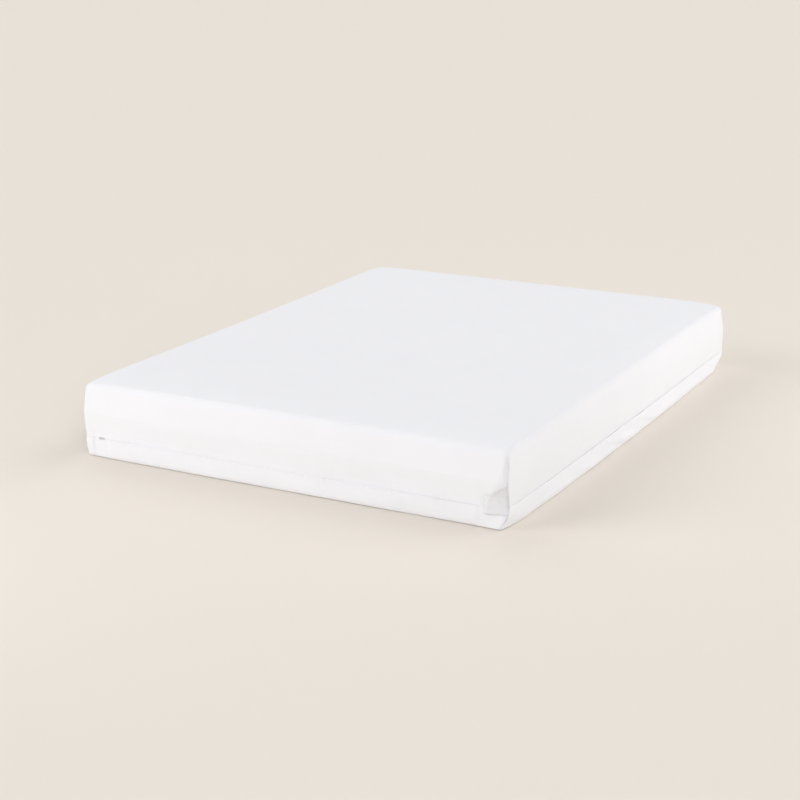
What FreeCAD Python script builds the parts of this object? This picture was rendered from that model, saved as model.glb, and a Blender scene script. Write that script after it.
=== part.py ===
import FreeCAD, Part
import os

# A memory foam mattress: a two-layer foam core in a white cover that zips round all four sides.
# Millimetres. The origin is at the middle of the underside, X runs across the width, Y along the
# length and Z up. The foot end faces -Y. "Inset" is a depth inwards from the cover's outer side
# faces, so what stands outside them has a negative inset.

os.makedirs("parts", exist_ok=True)
Vector = FreeCAD.Vector

# ---- overall sizes ----
mattress_width = 1500.0
mattress_length = 2000.0
mattress_height = 250.0
corner_radius = 26.0          # upright corners, seen from above
top_edge_radius = 24.0
base_edge_radius = 12.0

# ---- foam core ----
memory_foam_thickness = 100.0
foam_clearance = 0.4          # foam to the cover, and to the back of the slider

# ---- cover ----
cover_thickness = 1.6         # knit with its thin wadding
hem_height = 12.0             # edge of the cover turned in along the zip
seam_thread_width = 1.0
seam_thread_depth = 0.8
seam_thread_proud = 0.3
stitch_thread_height = 0.5
stitch_thread_depth = 0.3
stitch_thread_proud = 0.2
stitch_from_edge = 3.0

# ---- zip ----
zip_height = 65.0             # middle of the zip above the floor
zip_gap = 8.4                 # between the two hem edges; the slider fills it
tape_width = 13.0
tape_thickness = 0.6
coil_width = 2.4
coil_thickness = 1.6
coil_spacing = 1.4            # between the two rows of coil
zip_clearance = 0.2           # slider to coil, tape and hems
tape_end_gap = 2.0            # between the two ends of each tape

# ---- slider and pull ----
slider_length = 11.0
slider_front_plate = 1.0
slider_back_plate = 0.9
slider_flange_depth = 1.5
slider_post_length = 3.0
slider_post_thickness = 0.8
slider_tail_radius = 1.5
slider_edge_round = 0.25
pull_thickness = 0.8
pull_length = 15.5            # from the rivet to the tip
pull_width = 5.0
pull_eye_radius = 3.0
pull_hole_radius = 0.9
pull_edge_round = 0.15
rivet_radius = 1.0
rivet_cap_radius = 2.2
rivet_cap_thickness = 0.5
rivet_clearance = 0.3
pull_off_cover = 0.4

# ---- tab that hides the end of the zip ----
tab_reach = 72.0              # from the side face to the tab's open edge
tab_low = 43.0
tab_high = 110.0
tab_thickness = 1.0
tab_edge_width = 2.0
tab_clearance = 0.4
tab_off_top_cover = 0.5
tab_stitch_inset = 4.0
slider_from_tab_mouth = 18.0

# ---- ends of the zip ----
stop_length = 3.5
start_pin_length = 12.0
start_box_length = 7.0
start_from_corner = 3.0
coil_end_clearance = 1.0

# ---- care label, sewn in at the head end ----
label_width = 60.0
label_drop = 38.0
label_thickness = 0.4
label_top = 56.0
label_x = -560.0

# ---- places worked out from the sizes ----
half_width = mattress_width / 2
half_length = mattress_length / 2
foam_low = cover_thickness + foam_clearance
foam_high = mattress_height - cover_thickness - foam_clearance
foam_joint = foam_high - memory_foam_thickness
hem_inset = 2 * cover_thickness
tape_back = hem_inset + tape_thickness
coil_front = hem_inset - coil_thickness
slider_inner = coil_front - zip_clearance
slider_outer = slider_inner - slider_front_plate
slider_back_inner = tape_back + zip_clearance
slider_back_outer = slider_back_inner + slider_back_plate
foam_inset = slider_back_outer + foam_clearance
upper_hem_edge = zip_height + zip_gap / 2
lower_hem_edge = zip_height - zip_gap / 2
upper_stitch = upper_hem_edge + stitch_from_edge
lower_stitch = lower_hem_edge - stitch_from_edge
pull_inner = -pull_off_cover
pull_outer = pull_inner - pull_thickness
cap_inner = pull_outer - zip_clearance
cap_outer = cap_inner - rivet_cap_thickness
tab_inner = cap_outer - tab_clearance
tab_outer = tab_inner - tab_thickness
tab_mouth = half_width - tab_reach
slider_x = tab_mouth + slider_from_tab_mouth
slider_end = slider_x + slider_length / 2
near_corner = Vector(half_width - corner_radius, -(half_length - corner_radius), 0)


def outline(inset):
    """Rounded rectangle as wide and long as the mattress less the inset on each side."""
    x = half_width - inset
    y = half_length - inset
    r = corner_radius - inset
    bend = r * (1 - 0.5 ** 0.5)
    corners = [(1, -1), (1, 1), (-1, 1), (-1, -1)]
    arcs = []
    for number, (sx, sy) in enumerate(corners):
        along_y = Vector(sx * x, sy * (y - r), 0)
        along_x = Vector(sx * (x - r), sy * y, 0)
        middle = Vector(sx * (x - bend), sy * (y - bend), 0)
        ends = (along_y, along_x) if number % 2 else (along_x, along_y)
        arcs.append((ends[0], middle, ends[1]))
    edges = []
    for number, (start, middle, end) in enumerate(arcs):
        edges.append(Part.Arc(start, middle, end).toShape())
        edges.append(Part.makeLine(end, arcs[(number + 1) % len(arcs)][0]))
    return Part.Face(Part.Wire(edges))


def prism(inset, low, high):
    """Upright block with the mattress's outline, from one height to another."""
    face = outline(inset)
    face.translate(Vector(0, 0, low))
    return face.extrude(Vector(0, 0, high - low))


def ring(outer_inset, inner_inset, low, high):
    """Band that runs round all four sides, between two insets and two heights."""
    return prism(outer_inset, low, high).cut(prism(inner_inset, low - 1, high + 1))


def level_edges(shape, height):
    """Edges of a shape that lie flat at one height."""
    flat = []
    for edge in shape.Edges:
        box = edge.BoundBox
        if abs(box.ZMin - height) < 1e-4 and abs(box.ZMax - height) < 1e-4:
            flat.append(edge)
    return flat


def slab(inset, low, high, top_radius, base_radius):
    """Upright block with its top and bottom edges rounded."""
    block = prism(inset, low, high)
    if top_radius > 0:
        block = block.makeFillet(top_radius, level_edges(block, high))
    if base_radius > 0:
        block = block.makeFillet(base_radius, level_edges(block, low))
    return block


def front_box(x_low, x_high, inset_low, inset_high, z_low, z_high):
    """Box on the foot-end face, placed by its insets from that face."""
    size = (x_high - x_low, inset_high - inset_low, z_high - z_low)
    return Part.makeBox(*size, Vector(x_low, inset_low - half_length, z_low))


def front_disc(radius, x, z, inset_low, inset_high):
    """Round disc on the foot-end face, its axis square to that face."""
    start = Vector(x, inset_low - half_length, z)
    return Part.makeCylinder(radius, inset_high - inset_low, start, Vector(0, 1, 0))


def corner_bar(side_x, side_y, width, inset_low, inset_high, z_low, z_high):
    """Upright bar at the middle of one rounded corner, facing out at 45 degrees."""
    centre = Vector(side_x * (half_width - corner_radius), side_y * (half_length - corner_radius), 0)
    reach = corner_radius - inset_low
    depth = inset_high - inset_low
    bar = Part.makeBox(depth, width, z_high - z_low, Vector(reach - depth, -width / 2, z_low))
    turn = {(1, -1): -45, (1, 1): 45, (-1, 1): 135, (-1, -1): 225}[(side_x, side_y)]
    bar.rotate(Vector(0, 0, 0), Vector(0, 0, 1), turn)
    bar.translate(centre)
    return bar


def save(name, shape):
    """Write one piece, as clean closed solids."""
    solids = shape.removeSplitter().Solids
    piece = solids[0] if len(solids) == 1 else Part.makeCompound(solids)
    piece.exportStep("parts/" + name + ".step")
    print(name, len(solids), "solid(s)", round(piece.Volume / 1000, 3), "cm3", piece.isValid())


# ---- foam core: memory foam glued on a firmer support block ----
foam_top_radius = top_edge_radius - foam_low
foam_base_radius = base_edge_radius - foam_low
save("support_foam_block", slab(foam_inset, foam_low, foam_joint, 0, foam_base_radius))
save("memory_foam_layer", slab(foam_inset, foam_joint, foam_high, foam_top_radius, 0))

# ---- cover skin, before it is parted at the zip and along the base ----
skin = slab(0, 0, mattress_height, top_edge_radius, base_edge_radius).cut(
    slab(
        cover_thickness,
        cover_thickness,
        mattress_height - cover_thickness,
        top_edge_radius - cover_thickness,
        base_edge_radius - cover_thickness,
    )
)
upper_hem = ring(cover_thickness, hem_inset, upper_hem_edge, upper_hem_edge + hem_height)
lower_hem = ring(cover_thickness, hem_inset, lower_hem_edge - hem_height, lower_hem_edge)
top_cover = skin.common(prism(-1, upper_hem_edge, mattress_height + 1)).fuse(upper_hem)
lower_border = skin.common(prism(-1, -1, lower_hem_edge)).fuse(lower_hem)
base_panel = prism(base_edge_radius, 0, cover_thickness)
lower_border = lower_border.cut(base_panel)

# ---- threads: each lies in a groove that it fills in the cloth it holds ----
corners = {
    "foot_left": (-1, -1),
    "foot_right": (1, -1),
    "head_right": (1, 1),
    "head_left": (-1, 1),
}
for name, (side_x, side_y) in corners.items():
    depth = (-seam_thread_proud, seam_thread_depth - seam_thread_proud)
    seam_top = mattress_height - top_edge_radius
    seam_low = upper_stitch + stitch_thread_height
    upper = corner_bar(side_x, side_y, seam_thread_width, *depth, seam_low, seam_top)
    seam_high = lower_stitch - stitch_thread_height
    lower = corner_bar(side_x, side_y, seam_thread_width, *depth, base_edge_radius, seam_high)
    top_cover = top_cover.cut(upper)
    lower_border = lower_border.cut(lower)
    save("upper_corner_seam_" + name, upper)
    save("lower_corner_seam_" + name, lower)

half_stitch = stitch_thread_height / 2
stitch = (-stitch_thread_proud, stitch_thread_depth)
upper_stitching = ring(*stitch, upper_stitch - half_stitch, upper_stitch + half_stitch)
lower_stitching = ring(*stitch, lower_stitch - half_stitch, lower_stitch + half_stitch)
half_seam = seam_thread_width / 2
base_seam = ring(base_edge_radius - half_seam, base_edge_radius + half_seam, 0, stitch_thread_depth)
base_panel = base_panel.cut(base_seam)
top_cover = top_cover.cut(upper_stitching)
lower_border = lower_border.cut(lower_stitching).cut(base_seam)
save("upper_zip_stitching", upper_stitching)
save("lower_zip_stitching", lower_stitching)
save("base_seam", base_seam)
save("top_cover_sheet", top_cover)
save("lower_border", lower_border)
save("base_panel", base_panel)

# ---- zip tapes and coils, starting and ending at the foot-right corner ----
tape_gap = corner_bar(1, -1, tape_end_gap, hem_inset - 1, tape_back + 1, 0, mattress_height)
row_edge = coil_spacing / 2
tape_low = zip_height - tape_width
tape_high = zip_height + tape_width
upper_tape = ring(hem_inset, tape_back, zip_height + row_edge, tape_high).cut(tape_gap)
lower_tape = ring(hem_inset, tape_back, tape_low, zip_height - row_edge).cut(tape_gap)
save("upper_zip_tape", upper_tape)
save("lower_zip_tape", lower_tape)

upper_row = (zip_height + row_edge, zip_height + row_edge + coil_width)
lower_row = (zip_height - row_edge - coil_width, zip_height - row_edge)
stop_start = slider_end + zip_clearance
start_y = near_corner.y + start_from_corner
upper_end = slider_x - slider_length / 2 - coil_end_clearance
for name, row, end in (("upper", upper_row, upper_end), ("lower", lower_row, stop_start)):
    corner_space = Part.makeBox(
        half_width, start_y + start_pin_length + half_length + 1, mattress_height,
        Vector(end, -half_length - 1, 0),
    )
    save(name + "_zip_coil", ring(coil_front, hem_inset, *row).cut(corner_space))

stop = front_box(stop_start, stop_start + stop_length, coil_front, hem_inset, *lower_row)
save("zip_end_stop", stop)


def side_box(y_low, y_high, row):
    """Box on the right-hand face, in the channel of one row of coil."""
    size = (coil_thickness, y_high - y_low, row[1] - row[0])
    return Part.makeBox(*size, Vector(half_width - hem_inset, y_low, row[0]))


save("zip_start_pin", side_box(start_y, start_y + start_pin_length, upper_row))
save("zip_start_box", side_box(start_y, start_y + start_box_length, lower_row))

# ---- slider: two plates, a post between the rows, flanges outside them and a rivet for the pull ----
half_slider = zip_gap / 2 - zip_clearance
tail = slider_x - slider_length / 2


def slider_plate(inset_low, inset_high):
    """One plate of the slider, rounded at its tail."""
    plate = front_box(
        tail, slider_end, inset_low, inset_high, zip_height - half_slider, zip_height + half_slider
    )
    across = []
    for edge in plate.Edges:
        box = edge.BoundBox
        if box.YLength > 0.5 * (inset_high - inset_low) and box.XMax < slider_x:
            across.append(edge)
    return plate.makeFillet(slider_tail_radius, across)


slider = slider_plate(slider_outer, slider_inner)
slider = slider.fuse(slider_plate(slider_back_inner, slider_back_outer))
post_half = slider_post_thickness / 2
slider = slider.fuse(
    front_box(
        slider_end - slider_post_length, slider_end, slider_inner, slider_back_inner,
        zip_height - post_half, zip_height + post_half,
    )
)
flange_edge = row_edge + coil_width + zip_clearance
for low, high in ((flange_edge, half_slider), (-half_slider, -flange_edge)):
    slider = slider.fuse(
        front_box(
            tail + slider_tail_radius, slider_end, slider_inner, slider_inner + slider_flange_depth,
            zip_height + low, zip_height + high,
        )
    )
slider = slider.removeSplitter()
outer_rim = []
for edge in slider.Edges:
    box = edge.BoundBox
    if abs(box.YMin - (slider_outer - half_length)) < 1e-4 and box.YLength < 1e-4:
        outer_rim.append(edge)
slider = slider.makeFillet(slider_edge_round, outer_rim)
slider = slider.fuse(front_disc(rivet_radius, slider_x, zip_height, cap_inner, slider_outer))
slider = slider.fuse(front_disc(rivet_cap_radius, slider_x, zip_height, cap_outer, cap_inner))
save("zip_slider", slider)

# ---- pull: a flat tag that hangs from the rivet ----
tip_radius = pull_width / 2
tip_z = zip_height - pull_length + tip_radius
faces = (pull_outer, pull_inner)
pull = front_disc(pull_eye_radius, slider_x, zip_height, *faces)
pull = pull.fuse(front_box(slider_x - tip_radius, slider_x + tip_radius, *faces, tip_z, zip_height))
pull = pull.fuse(front_disc(tip_radius, slider_x, tip_z, *faces)).removeSplitter()
pull = pull.cut(front_disc(rivet_radius + rivet_clearance, slider_x, zip_height, *faces))
pull = pull.cut(front_disc(pull_hole_radius, slider_x, tip_z, *faces))
rims = []
for edge in pull.Edges:
    if edge.BoundBox.YLength < 1e-4:
        rims.append(edge)
save("zip_pull", pull.makeFillet(pull_edge_round, rims))

# ---- tab: sewn to the lower border, open towards the zip, it hides the parked slider ----
corner_side = corner_bar(1, -1, corner_radius, tab_outer - 1, corner_radius, 0, mattress_height)
corner_side.translate(Vector(1, 1, 0) * (corner_radius / 2 - seam_thread_width) * 0.5 ** 0.5)


def tab_space(inset_outer, inset_inner, z_low, z_high, x_low):
    """Part of a band round the foot-right corner, from a given X to the corner seam."""
    band = ring(inset_outer, inset_inner, z_low, z_high)
    window = front_box(x_low, half_width, tab_outer - 1, corner_radius, z_low, z_high)
    return band.common(window).cut(corner_side)


tab = tab_space(tab_outer, tab_inner, tab_low, tab_high, tab_mouth)
tab = tab.fuse(tab_space(tab_inner, 0, tab_low, tab_low + tab_edge_width, tab_mouth))
tab = tab.fuse(
    tab_space(tab_inner, -tab_off_top_cover, tab_high - tab_edge_width, tab_high, tab_mouth)
)
tab_stitches = []
for z in (tab_low + tab_stitch_inset, tab_high - tab_stitch_inset):
    depth = (tab_outer - stitch_thread_proud, tab_outer + stitch_thread_depth)
    line = tab_space(*depth, z - half_stitch, z + half_stitch, tab_mouth + tab_stitch_inset)
    tab = tab.cut(line)
    tab_stitches.append(line)
save("zip_end_tab", tab)
save("zip_end_tab_stitching", Part.makeCompound(tab_stitches))

# ---- care label: plain tape on the head-end face of the lower border ----
label = Part.makeBox(
    label_width, label_thickness, label_drop, Vector(label_x, half_length, label_top - label_drop)
)
save("care_label", label)
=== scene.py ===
import math

import bpy
import numpy as np
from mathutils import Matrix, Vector


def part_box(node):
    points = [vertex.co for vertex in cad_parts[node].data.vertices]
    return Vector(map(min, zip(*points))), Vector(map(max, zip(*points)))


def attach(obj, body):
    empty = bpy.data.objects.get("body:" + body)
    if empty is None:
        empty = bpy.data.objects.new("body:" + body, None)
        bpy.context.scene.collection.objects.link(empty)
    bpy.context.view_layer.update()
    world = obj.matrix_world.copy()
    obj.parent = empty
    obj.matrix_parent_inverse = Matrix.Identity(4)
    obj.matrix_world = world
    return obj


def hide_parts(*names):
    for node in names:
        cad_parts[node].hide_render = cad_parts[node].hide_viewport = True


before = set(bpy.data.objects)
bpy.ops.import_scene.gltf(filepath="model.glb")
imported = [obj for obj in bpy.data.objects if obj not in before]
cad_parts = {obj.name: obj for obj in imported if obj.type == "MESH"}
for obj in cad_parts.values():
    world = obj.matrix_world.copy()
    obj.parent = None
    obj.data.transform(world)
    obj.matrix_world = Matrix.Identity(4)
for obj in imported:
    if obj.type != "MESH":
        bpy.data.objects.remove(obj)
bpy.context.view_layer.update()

# ---- The form of the filled cover ----
# A mattress is a block of foam in a cover sewn a little small, so the cloth takes the block's shape
# with soft edges. Every piece is laid out on this form: how far round the rim, how deep in, how high.

cover_low, cover_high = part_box("top_cover_sheet")
half_width = cover_high.x
half_length = cover_high.y
height = cover_high.z
rim_length = 4 * (half_width + half_length)
zip_height = (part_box("zip_slider")[0].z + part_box("zip_slider")[1].z) / 2
upper_hem_edge = cover_low.z
lower_hem_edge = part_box("lower_border")[1].z
foam_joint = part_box("memory_foam_layer")[0].z
corner_round = 0.018
top_round_in = 0.016
top_round_down = 0.021
base_round_in = 0.012
base_round_up = 0.004


def rim_point(u):
    """Square-cornered rim: u metres round from the foot-left corner, anticlockwise from above."""
    u = np.mod(u, rim_length)
    ends = np.cumsum([0, 2 * half_width, 2 * half_length, 2 * half_width, 2 * half_length])
    x = np.interp(u, ends, [-half_width, half_width, half_width, -half_width, -half_width])
    y = np.interp(u, ends, [-half_length, -half_length, half_length, half_length, -half_length])
    return x, y


def outline(u, inset):
    """Rim point drawn in by the inset, its corner turned into an arc about a fixed centre.

    The point is clamped to the corner centres' rectangle; what is left over gives the direction.
    """
    x, y = rim_point(u)
    x = x * (half_width - inset) / half_width
    y = y * (half_length - inset) / half_length
    core_x = np.clip(x, corner_round - half_width, half_width - corner_round)
    core_y = np.clip(y, corner_round - half_length, half_length - corner_round)
    size = np.hypot(x - core_x, y - core_y)
    way_x = (x - core_x) / size
    way_y = (y - core_y) / size
    reach = corner_round - inset
    return core_x + reach * way_x, core_y + reach * way_y, way_x, way_y


def ease(t):
    """Smooth step: 0 below 0, 1 above 1, and 3t^2 - 2t^3 between."""
    t = np.clip(t, 0, 1)
    return t * t * (3 - 2 * t)


def hill(t, middle, spread):
    """Bell curve of height 1."""
    return np.exp(-(((t - middle) / spread) ** 2))


def wander(t, wavelength, seed, period=None):
    """Smooth unevenness of size about 1: seven sines near one wavelength, with seeded phases."""
    draw = np.random.default_rng(seed)
    total = np.zeros_like(t, dtype=float)
    for stretch in np.linspace(0.62, 1.75, 7):
        waves = 1 / (wavelength * stretch)
        if period:
            waves = max(1, round(period * waves)) / period
        total = total + np.sin(2 * np.pi * (waves * t + draw.random()))
    return total * 0.5


# how far each top corner is drawn in and down by the cover's seams, as (side x, side y, in, down)
top_corner_pull = [
    (-1, -1, 0.000, 0.005),
    (1, -1, 0.000, 0.002),
    (1, 1, 0.005, 0.005),
    (-1, 1, 0.003, 0.004),
]
pull_reach = 0.06
crown_drop = 0.0035
left_sag = 0.006
front_sag = 0.006
crown_reach = 0.05
ridge_out = 0.0058
ridge_lean = 0.017
ridge_bend = 0.100
side_belly = 0.0035
base_belly = 0.0015


def settle(p):
    """Takes points of the square-edged block to the filled form.

    The foot and head faces get a ridge at the foam joint: two slopes joined by a square-root bend.
    The long sides belly out gently. The top sinks by a falling exponential towards its edges, more
    along the left and front ones, and at the corners, where the seams draw it in and down. At the
    zip nothing moves.
    """
    x, y, z = p[..., 0].copy(), p[..., 1].copy(), p[..., 2].copy()
    side_x, side_y = np.sign(x), np.sign(y)
    in_x, in_y = np.maximum(half_width - np.abs(x), 0), np.maximum(half_length - np.abs(y), 0)
    from_ridge = z - foam_joint
    bend = np.sqrt(from_ridge**2 + 0.003**2) - 0.003
    end_face = ridge_out - ridge_lean * from_ridge - ridge_bend * bend
    belly = side_belly * np.sin(np.pi * np.clip((z - zip_height) / 0.15, 0, 1.25))
    above = ease((z - zip_height - 0.006) / 0.02)
    below = base_belly * np.sin(np.pi * np.clip(z / zip_height, 0, 1))
    end_face = np.where(z > zip_height, end_face * above, below)
    long_side = np.where(z > zip_height, belly * above, below * 1.3)
    x += side_x * long_side * np.exp(-in_x / 0.05)
    y += side_y * end_face * np.exp(-in_y / 0.05)
    lift = np.clip((z - 0.1) / (height - 0.1), 0, 1)
    drop = crown_drop * (np.exp(-in_x / crown_reach) + np.exp(-in_y / crown_reach))
    drop += front_sag * (side_y < 0) * ease((x + 0.1) / 0.8) * np.exp(-in_y / 0.07)
    drop += left_sag * (side_x < 0) * np.cos(0.5 * np.pi * y / half_length) * np.exp(-in_x / 0.08)
    for corner_x, corner_y, draw_in, draw_down in top_corner_pull:
        near = np.exp(-(np.hypot(in_x, in_y) / pull_reach) ** 1.5)
        near = near * (side_x == corner_x) * (side_y == corner_y)
        drop = drop + draw_down * near
        x -= side_x * draw_in * near * lift**2
        y -= side_y * draw_in * near * lift**2
    z -= drop * lift**2
    return np.stack([x, y, z], -1)


base_bow_side = 0.011
base_bow_end = 0.003


def slacken(p):
    """Takes points of the form to the cover's own line, which is looser than the foam.

    The long sides bow out towards the floor, by a parabola along them times a falling exponential
    upwards, and the ends bow a little.
    """
    x, y, z = p[..., 0].copy(), p[..., 1].copy(), p[..., 2]
    side_x, side_y = np.sign(x), np.sign(y)
    in_x, in_y = np.maximum(half_width - np.abs(x), 0), np.maximum(half_length - np.abs(y), 0)
    bow = base_bow_side * np.maximum(1 - (y / 0.92) ** 2, 0) * np.exp(-np.maximum(z, 0) / 0.09)
    end_bow = base_bow_end * np.maximum(1 - (x / 0.67) ** 2, 0) * np.exp(-np.maximum(z, 0) / 0.12)
    x_new = x + side_x * bow * np.exp(-in_x / 0.06)
    y_new = y + side_y * end_bow * np.exp(-in_y / 0.06)
    return np.stack([x_new, y_new, z], -1)


# how far each base corner is tucked in, as (side x, side y, in along x, in along y)
base_tuck = [
    (-1, -1, 0.004, 0.004),
    (1, -1, 0.017, -0.003),
    (1, 1, 0.020, 0.014),
    (-1, 1, 0.006, 0.006),
]
pleat_deep = 0.019
pleat_widest = 0.062
pleat_top = 0.240


def press(p):
    """Presses in the corners, cover and foam alike: the four at the base, and the near corner's pleat.

    Each base corner is tucked in by a falling exponential. The pleat is a valley in the front face
    beside the near corner's seam, narrow at the top, widest at the zip and deepest at the seam.
    """
    x, y, z = p[..., 0], p[..., 1], p[..., 2]
    side_x, side_y = np.sign(x), np.sign(y)
    in_x, in_y = np.maximum(half_width - np.abs(x), 0), np.maximum(half_length - np.abs(y), 0)
    beside = np.maximum(half_width - x, 0)
    wide = np.clip(0.004 + 0.26 * (0.238 - z) + 0.25 * np.maximum(0.15 - z, 0), 0.003, pleat_widest)
    valley = np.clip(1 - beside / wide, 0, 1) * ease(beside / 0.0035 + 0.05)
    deep = pleat_deep * (0.38 * ease((pleat_top - z) / 0.07) + 0.62 * ease((0.135 - z) / 0.04))
    pressed = deep * ease((z - 0.002) / 0.04) * valley * np.exp(-in_y / 0.05)
    y_new = y + np.where((side_y < 0) & (side_x > 0), pressed, 0)
    x_new = x.copy()
    for corner_x, corner_y, tuck_x, tuck_y in base_tuck:
        here = (side_x == corner_x) * (side_y == corner_y) * (1 - ease(z / 0.055))
        x_new -= corner_x * tuck_x * here * np.exp(-((in_y / 0.06) ** 1.5)) * np.exp(-in_x / 0.08)
        y_new -= corner_y * tuck_y * here * np.exp(-((in_x / 0.06) ** 1.5)) * np.exp(-in_y / 0.08)
    return np.stack([x_new, y_new, z], -1)


def on_form(u, inset, z, loose=True):
    """Point of the filled form, u round the rim, at an inset and a height; loose for the cover."""
    u, inset, z = np.broadcast_arrays(u, inset, z)
    x, y, way_x, way_y = outline(u, inset)
    p = press(settle(np.stack([x, y, z], -1)))
    return slacken(p) if loose else p


def outward(u):
    """Level direction square to the rim."""
    x, y, way_x, way_y = outline(np.asarray(u, float), 0.0)
    return np.stack([way_x, way_y, np.zeros_like(way_x)], -1)


# ---- The cover's cloth, as it lies on the form ----
# Knitted cloth is slack where it is hemmed to the zip: the hems roll, pucker and lap over the zip,
# the corner seams draw in, and the border's long right side hangs in loose diagonal folds.

# distance of the stitches from the hem's edge, and how far the lower hem stands proud
stitch_from_edge = 0.003
hem_proud = 0.0033
tab_from = half_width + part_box("zip_end_tab")[0].x
seam_u = np.cumsum([0, 2 * half_width, 2 * half_length, 2 * half_width])
slider_u = half_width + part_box("zip_slider")[0].x * 0.5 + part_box("zip_slider")[1].x * 0.5
slider_travel = 1.38
# half widths and fades of the places parted for the slider and flattened for the pull, the room
# left under the pull at the far and the near place, and how far each hem moves to close
parted_half = 0.008
parted_fade = 0.009
pull_half = 0.024
pull_fade = 0.012
far_room = 0.0014
near_room = 0.0005
upper_closing = 0.0058
lower_closing = 0.0063


def parked(u, half, fade):
    """Mask of the slider's two parking places: 1 within a half width of each, fading to 0."""
    far_park = 1 - ease((np.abs(u - slider_u + slider_travel) - half) / fade)
    near_park = 1 - ease((np.abs(u - slider_u) - half) / fade)
    return far_park + near_park


def lap(u):
    """How far the hems close over the zip, 0 to 1: loose and uneven, parted where the slider parks."""
    loose = 0.98 + 0.05 * wander(u, 0.16, 5, rim_length)
    open_end = ease((u - slider_u + 0.215) / 0.05) * (u < 2 * half_width)
    parted = np.clip(open_end * 0.14 + parked(u, parted_half, parted_fade), 0, 1)
    return np.clip(loose, 0, 1) * (1 - parted)


def puckers(u, z):
    """Small gathers along the zip: quick waves that fade within 35 mm of the hems."""
    rough = 0.35 + 0.65 * ease(wander(u, 0.35, 11, rim_length) * 0.5 + 0.45)
    foot = 1.3 * hill(u, 0.515, 0.06) + 1.3 * hill(u, 0.89, 0.1) + 1.6 * hill(u, 1.16, 0.09)
    wave = wander(u + 0.15 * (z - zip_height), 0.021, 7, rim_length)
    return wave * (rough + foot) * np.exp(-np.abs(z - zip_height) / 0.022)


def long_folds(u, z):
    """Loose slanting folds in the border on the right-hand side."""
    along = u - 2 * half_width
    where = hill(along, 0.93, 0.42) + 0.7 * hill(along, 1.8, 0.16)
    wave = wander(along * 0.8 + 3.2 * (z - 0.03), 0.20, 21)
    return where * np.maximum(wave, -0.4) * hill(z, 0.03, 0.026)


def from_seam(u):
    """Distance round the rim to the nearest corner seam."""
    return np.min(np.abs(u[..., None] - np.append(seam_u, rim_length)), -1)


def seam_dip(u, z):
    """Groove of each corner seam with the low ridges either side of it, gathered by the stitches."""
    away = from_seam(u)
    gather = 1 + 0.45 * wander(z, 0.014, 31)
    return gather * (0.0009 * hill(away, 0.0042, 0.0022) - 0.0013 * hill(away, 0, 0.0014))


def on_cover(u, inset, z):
    """Point of the cover's outer face, or of its hem where the inset is the hem's.

    To the form are added, square to the rim: broad unevenness, puckers, folds, the seams' grooves,
    the dent under each row of stitches and the roll of the hem, all flattened where the pull swings.
    The lower hem stands proud, but not by the corners, the tab or the pull; and the lap closes both
    hems over the zip.
    """
    u, inset, z = np.broadcast_arrays(u, inset, z)
    p = on_form(u, inset, z)
    face = np.clip(1 - inset / 0.0012, 0, 1)
    upper = z > zip_height
    hem = upper_hem_edge if np.mean(z) > zip_height else lower_hem_edge
    away = np.abs(z - hem)
    broad = 0.0009 * wander(u + 0.6 * z, 0.33, 3, rim_length) * ease((away - 0.006) / 0.04)
    roll = 0.0006 * hill(away, 0.001, 0.0035) + 0.0004 * hill(away, 0.0075, 0.0035)
    dent = -0.0006 * hill(away, stitch_from_edge, 0.0011)
    top_fade = ease((height - 0.012 - z) / 0.03)
    out = (broad + seam_dip(u, z)) * top_fade + roll + dent + 0.00085 * puckers(u, z)
    out = out + 0.0019 * long_folds(u, z) * (~upper)
    by_pull = parked(u, pull_half, pull_fade)
    flattened = by_pull * ease((z - 0.025) / 0.02) * (1 - ease((z - 0.095) / 0.02))
    out = out - (out + np.where(u < half_width, far_room, near_room)) * flattened
    by_tab = ease((u - tab_from + 0.03) / 0.025) * (u < seam_u[1])
    proud = hem_proud * ease(from_seam(u) / 0.05) * (1 - by_tab) * (1 - by_pull)
    proud = proud * np.clip(1.6 * lap(u), 0, 1) * (~upper) * ease(z / 0.02)
    p = p + outward(u) * (out * (0.4 + 0.6 * face) + proud)[..., None]
    near_hem = np.exp(-away / 0.006)
    closing = lap(u) * near_hem * (inset < 0.0035)
    ripple = 0.0007 * wander(u, 0.05, 13, rim_length) * hill(u, 0.52, 0.07)
    ripple = ripple + 0.0007 * wander(u, 0.05, 17, rim_length) * hill(u, 0.89, 0.12)
    p[..., 2] += np.where(upper, -upper_closing, lower_closing) * closing + ripple * near_hem
    return p


def rim_steps(half):
    """Places along one side of the rim, from -half to half: fine by the corners, then even."""
    near = np.array([0, 3, 6, 9, 12, 15, 18, 21, 25, 30, 36, 44, 54, 66, 80, 98, 118]) / 1000
    straight = 2 * (half - near[-1])
    count = round(straight / 0.03)
    middle = np.linspace(-half + near[-1], half - near[-1], count + 1)[1:-1]
    return np.concatenate([near - half, middle, half - near[::-1]])


steps_x = rim_steps(half_width)
steps_y = rim_steps(half_length)


def rim_columns(level):
    """Places round the rim at which a band has its columns; each level doubles them."""
    foot = steps_x[:-1] + half_width
    right = steps_y[:-1] + half_length + 2 * half_width
    u = np.concatenate([foot, right, foot + seam_u[2], right - seam_u[1] + seam_u[3]])
    for doubling in range(level):
        after = np.append(u[1:], rim_length)
        u = np.stack([u, (u + after) / 2], 1).ravel()
    return u


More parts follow.
